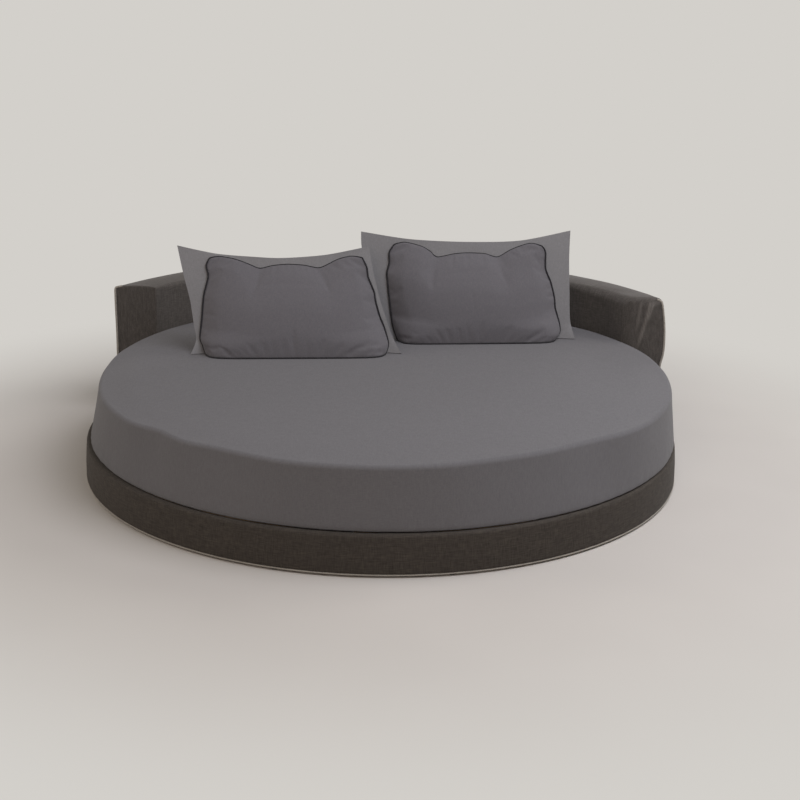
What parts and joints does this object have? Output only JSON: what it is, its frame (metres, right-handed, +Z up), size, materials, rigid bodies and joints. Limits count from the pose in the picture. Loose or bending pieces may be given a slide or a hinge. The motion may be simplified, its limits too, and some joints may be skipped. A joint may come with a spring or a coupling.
{
  "type": "round bed",
  "caption": "Round upholstered bed with a low drum base, a curved box headboard round its back, a boxed round mattress in a fitted sheet and leaning piped pillows.",
  "frame": {"origin": "on the floor, under the centre of the round base, at the underside of the middle foot", "axes": "+Z up; +Y from the open front towards the middle of the headboard; +X to the right as one faces the headboard"},
  "size_m": [2.0916, 2.1796, 0.7202],
  "materials": {
    "upholstery": "matte",
    "welt": "matte",
    "wadding": "matte",
    "foam": "matte",
    "plywood": "matte",
    "pine": "matte",
    "zinc_steel": "satin",
    "nylon": "satin",
    "felt": "matte",
    "spring_block": "matte",
    "ticking": "matte",
    "sheet_cotton": "matte",
    "elastic": "matte",
    "pillow_cotton": "matte",
    "pillow_fill": "matte",
    "piping": "matte"
  },
  "bodies": {
    "bed_frame": {"rail_cover_front": "upholstery", "rail_cover_back": "upholstery", "headboard_cover": "upholstery", "base_welt": "welt", "headboard_end_welts": "welt", "rail_wadding_front": "wadding", "rail_wadding_back": "wadding", "headboard_back_wadding": "wadding", "headboard_front_foam": "foam", "headboard_top_foam": "foam", "headboard_end_foams": "foam", "side_rail_front": "plywood", "side_rail_back": "plywood", "packing_blocks": "plywood", "headboard_inner_board": "plywood", "headboard_outer_board": "plywood", "headboard_bottom_plate": "plywood", "headboard_top_plate": "plywood", "headboard_end_boards": "plywood", "headboard_studs": "plywood", "ledger_left": "pine", "ledger_right": "pine", "centre_beam": "pine", "slats_left": "pine", "slats_right": "pine", "joining_plates": "zinc_steel", "beam_shoes": "zinc_steel", "plate_screws": "zinc_steel", "ledger_screws": "zinc_steel", "slat_screws": "zinc_steel", "headboard_bolts": "zinc_steel", "headboard_nuts": "zinc_steel", "bolt_washers": "zinc_steel", "base_glides": "nylon", "headboard_glides": "nylon", "centre_feet": "nylon"},
    "mattress": {"mattress_comfort_foam": "foam", "mattress_edge_foam": "foam", "mattress_base_felt": "felt", "mattress_insulator": "felt", "mattress_spring_unit": "spring_block", "mattress_bottom_panel": "ticking", "mattress_border": "ticking", "mattress_top_panel": "ticking", "mattress_tapes": "ticking", "fitted_sheet": "sheet_cotton", "sheet_elastic": "elastic"},
    "pillow_left": {"pillow_left_filling": "pillow_fill", "pillow_left_case": "pillow_cotton", "pillow_left_piping": "piping"},
    "pillow_right": {"pillow_right_filling": "pillow_fill", "pillow_right_case": "pillow_cotton", "pillow_right_piping": "piping"}
  },
  "joints": [
    {"name": "mattress_lift", "type": "slide", "parent": "bed_frame", "child": "mattress", "axis": [0, 0, 1], "range_m": [0, 0.45]},
    {"name": "pillow_left_lift", "type": "slide", "parent": "mattress", "child": "pillow_left", "axis": [0, 0, 1], "range_m": [0, 0.45]},
    {"name": "pillow_right_lift", "type": "slide", "parent": "mattress", "child": "pillow_right", "axis": [0, 0, 1], "range_m": [0, 0.45]}
  ]
}
